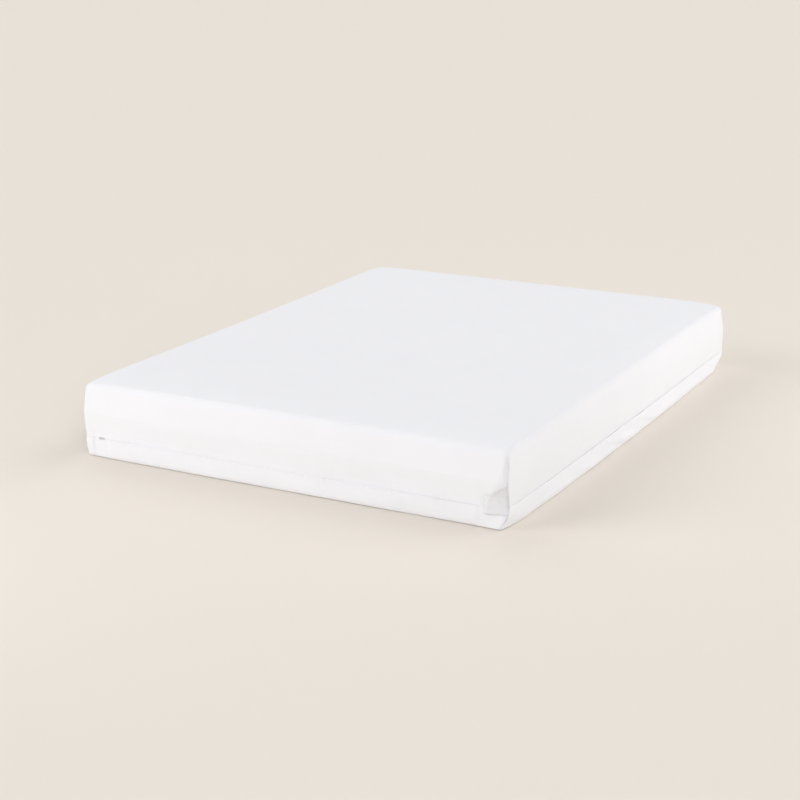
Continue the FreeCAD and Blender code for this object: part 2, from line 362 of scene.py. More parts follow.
class Net:
    """Points and faces of one piece, gathered band by band, with cloth coordinates in metres."""

    def __init__(self):
        self.points, self.faces, self.cloth, self.count = [], [], [], 0

    def add(self, points, cloth):
        """Adds points of any grid shape and gives back their numbers in that shape."""
        shape = points.shape[:-1]
        size = int(np.prod(shape))
        self.points.append(points.reshape(size, 3))
        self.cloth.append(cloth.reshape(size, 2))
        self.count += size
        return np.arange(self.count - size, self.count).reshape(shape)

    def rings(self, upper, lower):
        """Joins two rings of points; the lower may have twice as many, and then five-sided faces."""
        if len(lower) == len(upper):
            faces = np.stack([upper, lower, np.roll(lower, -1), np.roll(upper, -1)], 1)
        else:
            even, odd = lower[0::2], lower[1::2]
            faces = np.stack([upper, even, odd, np.roll(even, -1), np.roll(upper, -1)], 1)
        self.faces.extend(faces.tolist())

    def grid(self, numbers, flip=False):
        """Joins a grid of points into four-sided faces, facing up."""
        a, b = numbers[:-1, :-1], numbers[1:, :-1]
        c, d = numbers[1:, 1:], numbers[:-1, 1:]
        faces = np.stack([a, b, c, d], -1).reshape(-1, 4)
        self.faces.extend((faces[:, ::-1] if flip else faces).tolist())

    def cap(self, points, cloth, ring, flip=False):
        """Closes a ring with a grid that has the ring for its edge; only the inner points are new."""
        numbers = np.zeros(points.shape[:2], dtype=int)
        numbers[1:-1, 1:-1] = self.add(points[1:-1, 1:-1], cloth[1:-1, 1:-1])
        count_x, count_y = numbers.shape[0] - 1, numbers.shape[1] - 1
        numbers[:-1, 0] = ring[:count_x]
        numbers[-1, :-1] = ring[count_x:count_x + count_y]
        numbers[:0:-1, -1] = ring[count_x + count_y:2 * count_x + count_y]
        numbers[0, :0:-1] = ring[2 * count_x + count_y:]
        self.grid(numbers, flip)

    def make(self, name):
        """Makes the piece, its cloth coordinates as a UV map and its faces smooth."""
        mesh = bpy.data.meshes.new(name)
        points = np.concatenate(self.points)
        mesh.from_pydata(points.tolist(), [], self.faces)
        cloth = np.concatenate(self.cloth)
        corner = np.empty(len(mesh.loops), dtype=np.int32)
        mesh.loops.foreach_get("vertex_index", corner)
        uv = mesh.uv_layers.new(name="cloth")
        uv.data.foreach_set("uv", cloth[corner].astype(np.float32).ravel())
        mesh.polygons.foreach_set("use_smooth", np.ones(len(mesh.polygons), dtype=bool))
        mesh.update()
        piece = bpy.data.objects.new(name, mesh)
        bpy.context.collection.objects.link(piece)
        return piece


def rim_cloth(u, down):
    """Cloth coordinates of a band: metres round the rim and metres down it."""
    u, down = np.broadcast_arrays(u, down)
    return np.stack([u, -down], -1)


def level_grid(inset):
    """Level grid inside the rim at an inset, with its rows where the rim has its columns."""
    return np.meshgrid(
        steps_x * (half_width - inset) / half_width,
        steps_y * (half_length - inset) / half_length,
        indexing="ij",
    )


def ride_and_slot(piece, body, cad_node):
    """Fixes a piece to its body and stands it in for its CAD node, which is hidden."""
    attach(piece, body)
    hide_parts(cad_node)


def thicken(piece, thickness):
    """Gives a sheet its thickness, inwards from the outer face."""
    wall = piece.modifiers.new("thickness", "SOLIDIFY")
    wall.thickness = thickness
    wall.offset = -1
    wall.use_rim = True


# ---- Shader nodes for cloth ----
# Knit, plain weave and yarn tone, shared by the cover, the base cloth, the tapes, the label and
# the threads. Each group gives heights or masks; the surface itself stays in the material.


def node(tree, kind, **settings):
    """Adds a shader node; a setting names a property, or an input when it isn't one."""
    made = tree.nodes.new(kind)
    for key, value in settings.items():
        if hasattr(made, key):
            setattr(made, key, value)
        else:
            made.inputs[key].default_value = value
    return made


def feed(source, target):
    """Links an output to an input, in the node tree that they are in."""
    source.id_data.links.new(source, target)


def maths(operation, *values):
    """Adds a math node beside its inputs; each value is a number or another node's output."""
    tree = next(value.id_data for value in values if not isinstance(value, (int, float)))
    made = node(tree, "ShaderNodeMath", operation=operation)
    for socket, value in zip(made.inputs, values):
        if isinstance(value, (int, float)):
            socket.default_value = value
        else:
            feed(value, socket)
    return made.outputs[0]


def new_material(name):
    """Material with one Principled surface; gives its node tree, the surface and the coordinates."""
    made = bpy.data.materials.new(name)
    made.use_nodes = True
    tree = made.node_tree
    return made, tree, tree.nodes["Principled BSDF"], tree.nodes.new("ShaderNodeTexCoord").outputs


def place_group(tree, group, vector):
    """Adds a node group, with its pattern on the given coordinates."""
    made = node(tree, "ShaderNodeGroup", node_tree=group)
    feed(vector, made.inputs["Vector"])
    return made


def paint(surface, share, first, second):
    """Colours the surface with a mix of two colours, the share going from the first to the second."""
    made = node(surface.id_data, "ShaderNodeMix", data_type="RGBA", clamp_factor=True)
    feed(share, made.inputs["Factor"])
    made.inputs[6].default_value = (*first, 1)
    made.inputs[7].default_value = (*second, 1)
    feed(made.outputs[2], surface.inputs["Base Color"])


def emboss(surface, relief, strength, distance, invert=False):
    """Turns a height into the surface's normal through one Bump node."""
    made = node(surface.id_data, "ShaderNodeBump", invert=invert, Strength=strength, Distance=distance)
    feed(relief, made.inputs["Height"])
    feed(made.outputs[0], surface.inputs["Normal"])


def new_group(name, inputs, outputs):
    """Empty node group with named number or vector inputs and number outputs."""
    tree = bpy.data.node_groups.new(name, "ShaderNodeTree")
    for label, kind, value in inputs:
        socket = tree.interface.new_socket(label, in_out="INPUT", socket_type=kind)
        if value is not None:
            socket.default_value = value
    for label, kind in outputs:
        tree.interface.new_socket(label, in_out="OUTPUT", socket_type=kind)
    return tree, tree.nodes.new("NodeGroupInput"), tree.nodes.new("NodeGroupOutput")


FLOAT = "NodeSocketFloat"
VECTOR = "NodeSocketVector"

# knit: upright columns of V-shaped loops. Height = rounded column times a wave slanted by the V.
knit_loops, knit_in, knit_out = new_group(
    "knit_loops",
    [("Vector", VECTOR, None), ("Wale", FLOAT, 0.0012), ("Course", FLOAT, 0.0009)],
    [("Height", FLOAT), ("Hollow", FLOAT)],
)
split = knit_loops.nodes.new("ShaderNodeSeparateXYZ")
feed(knit_in.outputs["Vector"], split.inputs[0])
across = maths("DIVIDE", split.outputs[0], knit_in.outputs["Wale"])
along = maths("DIVIDE", split.outputs[1], knit_in.outputs["Course"])
arm = maths("ABSOLUTE", maths("SUBTRACT", maths("FRACT", across), 0.5))
slanted = maths("ADD", along, maths("MULTIPLY", arm, 1.3))
loop = maths("COSINE", maths("MULTIPLY", slanted, 2 * math.pi))
column = maths("SINE", maths("MULTIPLY", arm, 2 * math.pi))
raised = maths("MULTIPLY_ADD", loop, 0.35, 0.65)
loop_height = maths("MULTIPLY", raised, maths("MULTIPLY_ADD", column, 0.6, 0.4))
feed(loop_height, knit_out.inputs["Height"])
feed(maths("SUBTRACT", 1.0, loop_height), knit_out.inputs["Hollow"])

# weave: over-and-under threads. Height = the higher of two squared waves, half a step apart.
plain_weave, weave_in, weave_out = new_group(
    "plain_weave",
    [("Vector", VECTOR, None), ("Thread", FLOAT, 0.0006)],
    [("Height", FLOAT), ("Hollow", FLOAT)],
)
split = plain_weave.nodes.new("ShaderNodeSeparateXYZ")
feed(weave_in.outputs["Vector"], split.inputs[0])
pick_x = maths("DIVIDE", split.outputs[0], weave_in.outputs["Thread"])
pick_y = maths("DIVIDE", split.outputs[1], weave_in.outputs["Thread"])
turn_x = maths("MULTIPLY", pick_x, math.pi)
turn_y = maths("MULTIPLY", pick_y, math.pi)
warp = maths("MULTIPLY", maths("SINE", turn_x), maths("COSINE", turn_y))
weft = maths("MULTIPLY", maths("COSINE", turn_x), maths("SINE", turn_y))
top_thread = maths("MAXIMUM", maths("ABSOLUTE", warp), maths("ABSOLUTE", weft))
feed(top_thread, weave_out.inputs["Height"])
feed(maths("SUBTRACT", 1.0, top_thread), weave_out.inputs["Hollow"])

# cloth tone: slow clouding of the yarn, and fine fibre speckle, each about 0.5
cloth_tone, tone_in, tone_out = new_group(
    "cloth_tone",
    [("Vector", VECTOR, None), ("Cloud size", FLOAT, 6.0), ("Fibre size", FLOAT, 900.0)],
    [("Cloud", FLOAT), ("Fibre", FLOAT)],
)
cloud = node(cloth_tone, "ShaderNodeTexNoise", Detail=3.0, Roughness=0.55)
feed(tone_in.outputs["Vector"], cloud.inputs["Vector"])
feed(tone_in.outputs["Cloud size"], cloud.inputs["Scale"])
fibre = node(cloth_tone, "ShaderNodeTexNoise", Detail=2.0, Roughness=0.6)
feed(tone_in.outputs["Vector"], fibre.inputs["Vector"])
feed(tone_in.outputs["Fibre size"], fibre.inputs["Scale"])
feed(cloud.outputs[0], tone_out.inputs["Cloud"])
feed(fibre.outputs[0], tone_out.inputs["Fibre"])


def cloth_material(name, light, dark, weave, sizes, bump, roughness, sheen):
    """Cloth: two close colours mixed by yarn clouding, fibre speckle and painted shade in the weave's
    hollows; with bump and sheen.

    The height of the weave plus a little fibre feeds one Bump; the fibre also varies the roughness.
    """
    made, tree, surface, place = new_material(name)
    threads = place_group(tree, weave, place["UV"])
    for label, value in sizes.items():
        threads.inputs[label].default_value = value
    tone = place_group(tree, cloth_tone, place["Object"])
    # the weave's hollows are painted darker: painted shade; the clouding and fibre are the yarn's own
    # tone
    shade = maths("MULTIPLY_ADD", threads.outputs["Hollow"], 0.45, 0.1)
    shade = maths("MULTIPLY_ADD", tone.outputs["Cloud"], 0.5, shade)
    shade = maths("MULTIPLY_ADD", tone.outputs["Fibre"], 0.3, shade)
    paint(surface, maths("SUBTRACT", shade, 0.35), light, dark)
    surface.inputs["Sheen Weight"].default_value = sheen
    surface.inputs["Sheen Roughness"].default_value = 0.45
    surface.inputs["Specular IOR Level"].default_value = 0.25
    rough = maths("MULTIPLY_ADD", tone.outputs["Fibre"], 0.2, roughness - 0.1)
    rough = maths("MULTIPLY_ADD", threads.outputs["Hollow"], 0.08, rough)
    feed(rough, surface.inputs["Roughness"])
    relief = maths("MULTIPLY_ADD", tone.outputs["Fibre"], 0.35, threads.outputs["Height"])
    emboss(surface, relief, bump, 0.00025)
    return made


# ---- Base panel ----
# The cover's underside: one flat piece of plain woven cloth, sewn to the border all round.

base_cloth = cloth_material(
    "base_cloth", (0.80, 0.80, 0.81), (0.70, 0.70, 0.72), plain_weave, {"Thread": 0.0008},
    bump=0.5, roughness=0.86, sheen=0.15,
)
base = Net()
base_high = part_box("base_panel")[1]
panel_x, panel_y = np.meshgrid(
    steps_x * base_high.x / half_width, steps_y * base_high.y / half_length, indexing="ij"
)
panel_z = 0.00035 * (1 + 0.5 * wander(panel_x * 1.1 + panel_y * 0.4, 0.4, 41))
panel_z = panel_z * (1 + 0.5 * wander(panel_y, 0.31, 43))
panel_z = panel_z * ease(np.abs(base_high.x - np.abs(panel_x)) / 0.05)
panel_z = np.clip(panel_z, 0, 0.001)
panel = slacken(press(np.stack([panel_x, panel_y, np.zeros_like(panel_x)], -1)))
panel[..., 2] = panel_z
numbers = base.add(panel, np.stack([panel_x, panel_y], -1))
base.grid(numbers, flip=True)
base_piece = base.make("base_panel_cloth")
thicken(base_piece, 0.0014)
base_piece.data.materials.append(base_cloth)
ride_and_slot(base_piece, "cover_base", "base_panel")

# ---- Lower border ----
# The knitted wall below the zip: one strip round all four sides, joined at the corners, its upper
# edge turned in 12 mm as a hem, its lower edge turned under and sewn to the base panel.

knit = cloth_material(
    "cover_knit", (0.86, 0.86, 0.875), (0.80, 0.80, 0.82), knit_loops, {"Wale": 0.0013, "Course": 0.001},
    bump=0.32, roughness=0.8, sheen=0.25,
)
hem_turn = 0.0016
hem_depth = 0.012
cover_thick = 0.0015


def hem_rows(edge, side):
    """Insets and heights of the turned-in hem, from its free edge to the fold at the hem edge."""
    inner = np.linspace(1, 0.25, 4) * hem_depth
    turn = np.linspace(math.pi, 0, 8)
    insets = np.concatenate([np.full(4, 2 * hem_turn), hem_turn * (1 - np.cos(turn))])
    heights = np.concatenate([edge + side * inner, edge + side * hem_turn * (1 - np.sin(turn))])
    return insets, heights


def add_band(net, insets, heights, level, down=0.0, after=None):
    """Adds rows of cover cloth round the rim, each an inset and a height, joined to what is above."""
    u = rim_columns(level)
    steps = np.hypot(np.diff(insets), np.diff(heights))
    depth = down + np.append(0, np.cumsum(steps))
    points = on_cover(u[None, :], insets[:, None], heights[:, None])
    numbers = net.add(points, rim_cloth(u[None, :], depth[:, None]))
    if after is not None:
        net.rings(after, numbers[0])
    for above, below in zip(numbers[:-1], numbers[1:]):
        net.rings(above, below)
    return numbers, depth[-1]


border = Net()
hem_insets, hem_heights = hem_rows(lower_hem_edge, -1)
wall_heights = np.concatenate([
    np.linspace(lower_hem_edge - 0.003, 0.042, 8), np.linspace(0.039, base_round_up, 9),
])
turn = np.linspace(0, math.pi / 2, 6)[1:]
insets = np.concatenate([hem_insets, np.zeros(len(wall_heights)), base_round_in * (1 - np.cos(turn))])
heights = np.concatenate([hem_heights, wall_heights, base_round_up * (1 - np.sin(turn))])
border_depth = add_band(border, insets, heights, 2)[1]
border_piece = border.make("lower_border_knit")
thicken(border_piece, cover_thick)
border_piece.data.materials.append(knit)
ride_and_slot(border_piece, "cover_base", "lower_border")

# ---- Threads of the lower half ----
# White polyester thread: lockstitch rows on the surface, each stitch a short twisted grain sunk at
# its ends. The lower row holds the zip, four upright rows close the corners, one joins the base.

thread, tree, surface, place = new_material("sewing_thread")
surface.inputs["Sheen Weight"].default_value = 0.3
surface.inputs["Specular IOR Level"].default_value = 0.4
strand = tree.nodes.new("ShaderNodeSeparateXYZ")
feed(place["UV"], strand.inputs[0])
twist_pitch = 0.0005
turned = maths("MULTIPLY_ADD", strand.outputs[0], 2 * math.pi / twist_pitch, strand.outputs[1])
ply = maths("MULTIPLY_ADD", maths("SINE", turned), 0.5, 0.5)
fuzz = place_group(tree, cloth_tone, place["Object"]).outputs["Fibre"]
# the grooves between the plies are painted darker: painted shade; the fuzz is the yarn's own speckle
paint(surface, maths("MULTIPLY", ply, fuzz), (0.80, 0.80, 0.81), (0.88, 0.88, 0.89))
feed(maths("MULTIPLY_ADD", fuzz, 0.25, 0.45), surface.inputs["Roughness"])
emboss(surface, ply, 0.6, 0.0001)

stitch_pitch = 0.0032
stitch_length = 0.0027
stitch_width = 0.0006
stitch_height = 0.00035


def stitch_row(name, points, body, cad_node, facing, length=stitch_length):
    """One row of stitches, one at each point, lying along the row.

    Each is a closed grain: three diamond sections along its length and a sunk point at either end.
    """
    ahead = np.gradient(points, axis=0)
    ahead /= np.linalg.norm(ahead, axis=1, keepdims=True)
    side = np.cross(facing, ahead)
    side /= np.linalg.norm(side, axis=1, keepdims=True)
    up = np.cross(ahead, side)
    shape = [(-0.5, 0, -0.6)]
    for share, size in ((-0.3, 0.8), (0, 1), (0.3, 0.8)):
        shape += [(share, 0.5 * size, 0), (share, 0, size), (share, -0.5 * size, 0), (share, 0, -0.6)]
    shape = np.array(shape + [(0.5, 0, -0.6)]) * (length, stitch_width, stitch_height)
    local = shape[None, :, :]
    spots = points[:, None, :] + ahead[:, None, :] * local[..., :1]
    spots = spots + side[:, None, :] * local[..., 1:2] + up[:, None, :] * local[..., 2:]
    faces = []
    for k in range(4):
        after = (k + 1) % 4
        faces += [(0, 1 + after, 1 + k), (13, 9 + k, 9 + after)]
        for ring in (1, 5):
            faces.append((ring + k, ring + after, ring + 4 + after, ring + 4 + k))
    net = Net()
    around = np.array([0] + [0, 1.6, 3.1, 4.7] * 3 + [0])
    run = np.arange(len(points))[:, None] * length + shape[None, :, 0]
    numbers = net.add(spots, np.stack([run, np.broadcast_to(around, run.shape)], -1))
    for face in faces:
        net.faces.extend(numbers[:, list(face)].tolist())
    piece = net.make(name)
    piece.data.materials.append(thread)
    ride_and_slot(piece, body, cad_node)


corner_names = ["foot_left", "foot_right", "head_right", "head_left"]
corner_pitch = 0.0042
corner_stitch = 0.0034
stitch_u = np.arange(0, rim_length, stitch_pitch)


def seam_rows(half, body, zip_row_z, low, high):
    """Stitches of one half of the cover: the row along the zip, and one up each corner."""
    row = on_cover(stitch_u, 0.0, np.full_like(stitch_u, zip_row_z))
    stitch_row(half + "_zip_stitches", row, body, half + "_zip_stitching", outward(stitch_u))
    seam_z = np.arange(low, high, corner_pitch)
    for name, u in zip(corner_names, seam_u):
        cad_node = half + "_corner_seam_" + name
        corner_u = np.full_like(seam_z, u)
        line = on_cover(corner_u, 0.0, seam_z)
        stitch_row(cad_node + "_stitches", line, body, cad_node, outward(corner_u), corner_stitch)


lower_stitch = lower_hem_edge - stitch_from_edge
seam_rows("lower", "cover_base", lower_stitch, base_round_up + 0.002, lower_stitch - 0.002)

under = on_form(stitch_u, base_round_in - 0.0006, 0.0)
under[:, 2] = 0.00036
facing_down = np.tile([0.0, 0.0, -1.0], (len(under), 1))
stitch_row("base_seam_stitches", under, "cover_base", "base_seam", facing_down)

# ---- Lower half of the zip ----
# A woven tape sewn behind the hem, with a row of nylon coil along its edge. The coil ends in a
# moulded stop under the tab, and starts at a small box round the corner.

tape_cloth = cloth_material(
    "zip_tape", (0.80, 0.80, 0.81), (0.70, 0.70, 0.72), plain_weave, {"Thread": 0.0007},
    bump=0.6, roughness=0.7, sheen=0.2,
)
nylon, tree, surface, place = new_material("zip_nylon")
surface.inputs["IOR"].default_value = 1.53
surface.inputs["Subsurface Weight"].default_value = 0.15
surface.inputs["Subsurface Radius"].default_value = (0.001, 0.001, 0.001)
drawn = node(tree, "ShaderNodeTexNoise", Scale=1400.0, Detail=3.0)
cast = node(tree, "ShaderNodeTexNoise", Scale=30.0, Detail=2.0)
feed(place["Object"], drawn.inputs["Vector"])
feed(place["Object"], cast.inputs["Vector"])
paint(surface, cast.outputs[0], (0.80, 0.80, 0.81), (0.72, 0.72, 0.74))
feed(maths("MULTIPLY_ADD", drawn.outputs[0], 0.2, 0.28), surface.inputs["Roughness"])
emboss(surface, drawn.outputs[0], 0.25, 0.00005)

near_corner_u = seam_u[1]
tape_end_gap = 0.0012
tape_thick = 0.0006
tooth_pitch = 0.0015
coil_from_corner = 0.021


def zip_tape(name, body, cad_node):
    """Strip behind the hem, all the way round but for a gap at the near corner.

    Its inner edge is straight and its outer edge ribbed a little by the weave's selvedge.
    """
    low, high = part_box(cad_node)
    inset = half_length + low.y
    u = rim_columns(2)
    u = np.sort(np.mod(u - near_corner_u, rim_length)) + near_corner_u
    u[0] += tape_end_gap
    u = np.append(u, near_corner_u + rim_length - tape_end_gap)
    z = np.linspace(high.z, low.z, 7)
    rib = 0.00012 * np.cos(np.linspace(0, 4 * math.pi, 7))
    rows = on_form(u[None, :] % rim_length, inset - rib[:, None], z[:, None])
    net = Net()
    numbers = net.add(rows, rim_cloth(u[None, :], z[:, None]))
    net.grid(numbers)
    piece = net.make(name)
    thicken(piece, tape_thick)
    piece.data.materials.append(tape_cloth)
    ride_and_slot(piece, body, cad_node)


def zip_coil(name, body, cad_node, side, end_u):
    """Row of coil turns along the tape's edge: each a leaning six-sided bar with a rounded head.

    Side is 1 for the upper row, whose heads point down, and -1 for the lower.
    """
    u = np.arange(near_corner_u + coil_from_corner, rim_length + end_u, tooth_pitch)
    profile = np.array([
        (3.1, 3.15), (2.75, 1.9), (1.9, 1.62), (0.95, 1.66), (0.47, 2.35), (0.6, 3.15),
    ]) / 1000
    half_thick = np.array([0.30, 0.42, 0.46, 0.50, 0.36, 0.42]) / 1000
    lean = 0.0003 * (profile[:, 0] / profile[0, 0])
    z = zip_height + side * profile[:, 0]
    net = Net()
    ends = []
    for way in (-1, 1):
        spot = u[:, None] + lean[None, :] + way * half_thick[None, :]
        points = on_form(spot % rim_length, profile[None, :, 1], z[None, :])
        ends.append(net.add(points, rim_cloth(spot, z[None, :])))
    first, last = ends if side > 0 else ends[::-1]
    sides = len(profile)
    net.faces.extend(first[:, ::-1].tolist())
    net.faces.extend(last.tolist())
    for k in range(sides):
        after = (k + 1) % sides
        side_faces = np.stack([first[:, k], first[:, after], last[:, after], last[:, k]], 1)
        net.faces.extend(side_faces.tolist())
    piece = net.make(name)
    piece.data.materials.append(nylon)
    ride_and_slot(piece, body, cad_node)


lower_coil_end = half_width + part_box("zip_end_stop")[0].x - 0.0006
zip_tape("lower_zip_tape_weave", "cover_base", "lower_zip_tape")
zip_coil("lower_zip_coil_turns", "cover_base", "lower_zip_coil", -1, lower_coil_end)


def coat(material, *names):
    """Gives CAD pieces that are shown as they are their material."""
    for name in names:
        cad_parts[name].data.materials.clear()
        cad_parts[name].data.materials.append(material)


coat(nylon, "zip_end_stop", "zip_start_box", "zip_start_pin")

# ---- Tab over the end of the zip ----
# A folded patch of knit, sewn to the border at the near corner; it is coloured greyer than the
# cover as painted shade of the hollow by the corner seam. It hides the parked slider. Its upper edge
# slants into the corner seam, and its lip stands off the cover.

# colours greyer than the cover knit's: painted shade of the hollow at the near corner
tab_knit_painted_shade = cloth_material(
    "tab_knit_painted_shade", (0.83, 0.83, 0.845), (0.76, 0.76, 0.78), knit_loops, {"Wale": 0.0011, "Course": 0.0009},
    bump=0.4, roughness=0.82, sheen=0.2,
)
tab_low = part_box("zip_end_tab")[0]
tab_start_u = half_width + tab_low.x
tab_end_u = near_corner_u - 0.0008
slant_start_u = half_width + 0.699
tab_level = 0.103
pocket_wide = 0.036
slant_top = 0.1455


def tab_top(u):
    """Height of the tab's upper edge: level, then a straight slant up into the corner seam."""
    rise = np.clip((u - slant_start_u) / (tab_end_u - slant_start_u), 0, 1)
    return tab_level + (slant_top - tab_level) * rise


def on_tab(u, share):
    """Point of the tab's outer face. It bows out over the slider and lies down at its sewn edges."""
    u, share = np.broadcast_arrays(u, share)
    top = tab_top(u)
    z = tab_low.z + share * (top - tab_low.z)
    from_edge = np.minimum(z - tab_low.z, top - z)
    pocket = ease(from_edge / 0.006) * (1 - ease((u - tab_start_u - pocket_wide) / 0.024))
    lip = (0.0011 + 0.0032 * ease((u - slant_start_u) / 0.01)) * hill(top - z, 0.001, 0.0032)
    lip = lip - 0.0005 * hill(u, tab_start_u, 0.004)
    crease = 0.0004 * wander(u * 1.2 + z, 0.019, 71) * ease((u - tab_start_u) / 0.03)
    out = 0.0013 + 0.0022 * pocket + lip + crease * (1 - pocket)
    return on_form(u, 0.0, z) + outward(u) * out[..., None]


tab = Net()
tab_u = np.linspace(tab_start_u, tab_end_u, 40)
tab_share = 1 - np.linspace(0, 1, 60) ** 1.5
tab_points = on_tab(tab_u[None, :], tab_share[:, None])
numbers = tab.add(tab_points, rim_cloth(tab_u[None, :], 0.11 * (1 - tab_share[:, None])))
tab.grid(numbers)
tab_piece = tab.make("zip_end_tab_patch")
thicken(tab_piece, 0.001)
tab_piece.data.materials.append(tab_knit_painted_shade)
ride_and_slot(tab_piece, "cover_base", "zip_end_tab")
tab_width = tab_end_u - tab_start_u
tab_area = tab_width * (tab_level - tab_low.z)
tab_area = tab_area + 0.5 * (tab_end_u - slant_start_u) * (slant_top - tab_level)
sewn_u = np.arange(tab_start_u + 0.003, tab_end_u - 0.001, stitch_pitch)
lower_row = on_tab(sewn_u, np.full_like(sewn_u, 0.055))
upper_row = on_tab(sewn_u, np.full_like(sewn_u, 0.95))
sewn = np.concatenate([lower_row, upper_row])
facing = outward(np.tile(sewn_u, 2))
stitch_row("zip_end_tab_stitches", sewn, "cover_base", "zip_end_tab_stitching", facing)

# ---- Care label ----
# A blank satin tape, fixed to the border at its upper edge. The loose lower edge curls a little
# away from the border.

satin = cloth_material(
    "label_satin", (0.88, 0.88, 0.87), (0.80, 0.80, 0.80), plain_weave, {"Thread": 0.0003},
    bump=0.3, roughness=0.42, sheen=0.1,
)
label_low, label_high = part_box("care_label")
label_right = seam_u[2] + half_width - label_high.x
label_u = np.linspace(label_right, label_right + label_high.x - label_low.x, 33)
label_z = np.linspace(label_high.z, label_low.z, 25)
fall = (label_high.z - label_z)[:, None] / (label_high.z - label_low.z)
label_out = 0.0019 + 0.0030 * fall**3 + 0.0007 * fall * np.sin((label_u[None, :] - label_right) * 70)
label_points = on_form(label_u[None, :], 0.0, label_z[:, None] + 0 * label_u[None, :])
label_points = label_points + outward(label_u)[None, :, :] * label_out[..., None]
label = Net()
numbers = label.add(label_points, rim_cloth(label_u[None, :], -label_z[:, None]))
label.grid(numbers)
label_piece = label.make("care_label_tape")
thicken(label_piece, 0.0005)
label_piece.data.materials.append(satin)
ride_and_slot(label_piece, "cover_base", "care_label")

# ---- Foam core ----
# Two slabs glued face to face: firm open-celled foam below, slow memory foam above. Their saw-cut
# faces show fine cells, and their edges are rounded over by handling.

foam_inset = 0.0055
cloth_slack = 0.0012


def foam_material(name, light, dark, cell, bump):
    """Cut foam: cells as small pits of two sizes, painted darker as painted shade in the cells, and
    broad yellowing, with a fully matt surface.
    """
    made, tree, surface, place = new_material(name)
    cells = node(tree, "ShaderNodeTexVoronoi", Scale=1 / cell)
    large = node(tree, "ShaderNodeTexVoronoi", Scale=0.28 / cell)
    age = node(tree, "ShaderNodeTexNoise", Scale=4.0, Detail=4.0)
    for pattern in (cells, large, age):
        feed(place["Object"], pattern.inputs["Vector"])
    pit = maths("SUBTRACT", 0.55, cells.outputs["Distance"])
    pit = maths("MAXIMUM", pit, maths("SUBTRACT", 0.22, large.outputs["Distance"]))
    pit = maths("MAXIMUM", pit, 0.0)
    yellowed = maths("MULTIPLY_ADD", age.outputs[0], 0.7, -0.2)
    # the pits are painted darker: painted shade in the cells; the yellowing is the foam's own tone
    paint(surface, maths("MULTIPLY_ADD", pit, 0.9, yellowed), light, dark)
    surface.inputs["Specular IOR Level"].default_value = 0.15
    surface.inputs["Sheen Weight"].default_value = 0.1
    feed(maths("MULTIPLY_ADD", pit, 0.1, 0.88), surface.inputs["Roughness"])
    emboss(surface, pit, bump, 0.0005, invert=True)
    return made


def clear_of_pleat(p):
    """Rounds the foam's near corner off behind the cover's pleat: the corner moves in along y."""
    x, y, z = p[..., 0], p[..., 1], p[..., 2]
    beside = np.maximum(half_width - foam_inset - x, 0)
    near = np.exp(-beside / 0.010) * (y < 0) * (x > 0) * np.exp(-np.maximum(half_length + y, 0) / 0.05)
    return np.stack([x, y + 0.85 * pleat_deep * near * ease((0.205 - z) / 0.08), z], -1)


def foam_slab(name, low, high, low_round, high_round, seed):
    """Closed slab on the form: a grid above, rings down the sides and a grid below.

    The sides waver by a fraction of a millimetre, as a saw leaves them.
    """
    net = Net()
    u = rim_columns(0)
    turn = np.linspace(0, math.pi / 2, 9)
    insets = np.concatenate([
        high_round * (1 - np.sin(turn)),
        np.zeros(7),
        low_round * (1 - np.cos(turn)),
    ]) + foam_inset
    heights = np.concatenate([
        high - high_round * (1 - np.cos(turn)),
        np.linspace(high - high_round, low + low_round, 9)[1:-1],
        low + low_round * (1 - np.sin(turn)),
    ])
    waver = 0.0003 * wander(u[None, :] + 0.5 * heights[:, None], 0.09, seed, rim_length)
    points = on_form(u[None, :], insets[:, None] + waver, heights[:, None], loose=False)
    points = clear_of_pleat(points)
    numbers = net.add(points, rim_cloth(u[None, :], heights[:, None]))
    for above, below in zip(numbers[:-1], numbers[1:]):
        net.rings(above, below)
    ends = ((numbers[0], insets[0], high, False), (numbers[-1], insets[-1], low, True))
    for ring, inset, level, flip in ends:
        x, y = level_grid(inset)
        face = settle(np.stack([x, y, np.full_like(x, level)], -1))
        net.cap(face, np.stack([x, y], -1), ring, flip)
    return net.make(name)


foam_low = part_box("support_foam_block")[0].z
foam_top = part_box("memory_foam_layer")[1].z
support = foam_slab("support_foam_slab", foam_low, foam_joint, 0.006, 0.0012, 51)
firm_foam = foam_material("support_foam", (0.78, 0.83, 0.86), (0.55, 0.63, 0.68), 0.0011, 0.8)
support.data.materials.append(firm_foam)
ride_and_slot(support, "foam_core", "support_foam_block")
memory = foam_slab("memory_foam_slab", foam_joint, foam_top - cloth_slack, 0.0012, 0.012, 53)
slow_foam = foam_material("memory_foam", (0.86, 0.82, 0.70), (0.70, 0.63, 0.46), 0.0007, 0.5)
memory.data.materials.append(slow_foam)
ride_and_slot(memory, "foam_core", "memory_foam_layer")

# ---- Top cover ----
# One knitted sheet over the top and down to the zip, sewn up at its four corners and hemmed. It
# lifts off with the upper half of the zip.

top = Net()
top_x, top_y = level_grid(top_round_in)
swell = 0.0005 * wander(top_x + 0.5 * top_y, 0.45, 61) + 0.0005 * wander(top_y - 0.3 * top_x, 0.38, 67)
swell = np.maximum(swell, -0.0006)
edge_fade = ease(np.minimum(half_width - np.abs(top_x), half_length - np.abs(top_y)) / 0.12 - 0.15)
top_points = settle(np.stack([top_x, top_y, np.full_like(top_x, height)], -1))
top_points[..., 2] += swell * edge_fade
turn = np.linspace(0, math.pi / 2, 7)
round_insets = top_round_in * (1 - np.sin(turn))
round_heights = height - top_round_down * (1 - np.cos(turn))
upper_wall = np.linspace(height - top_round_down, 0.162, 8)[1:]
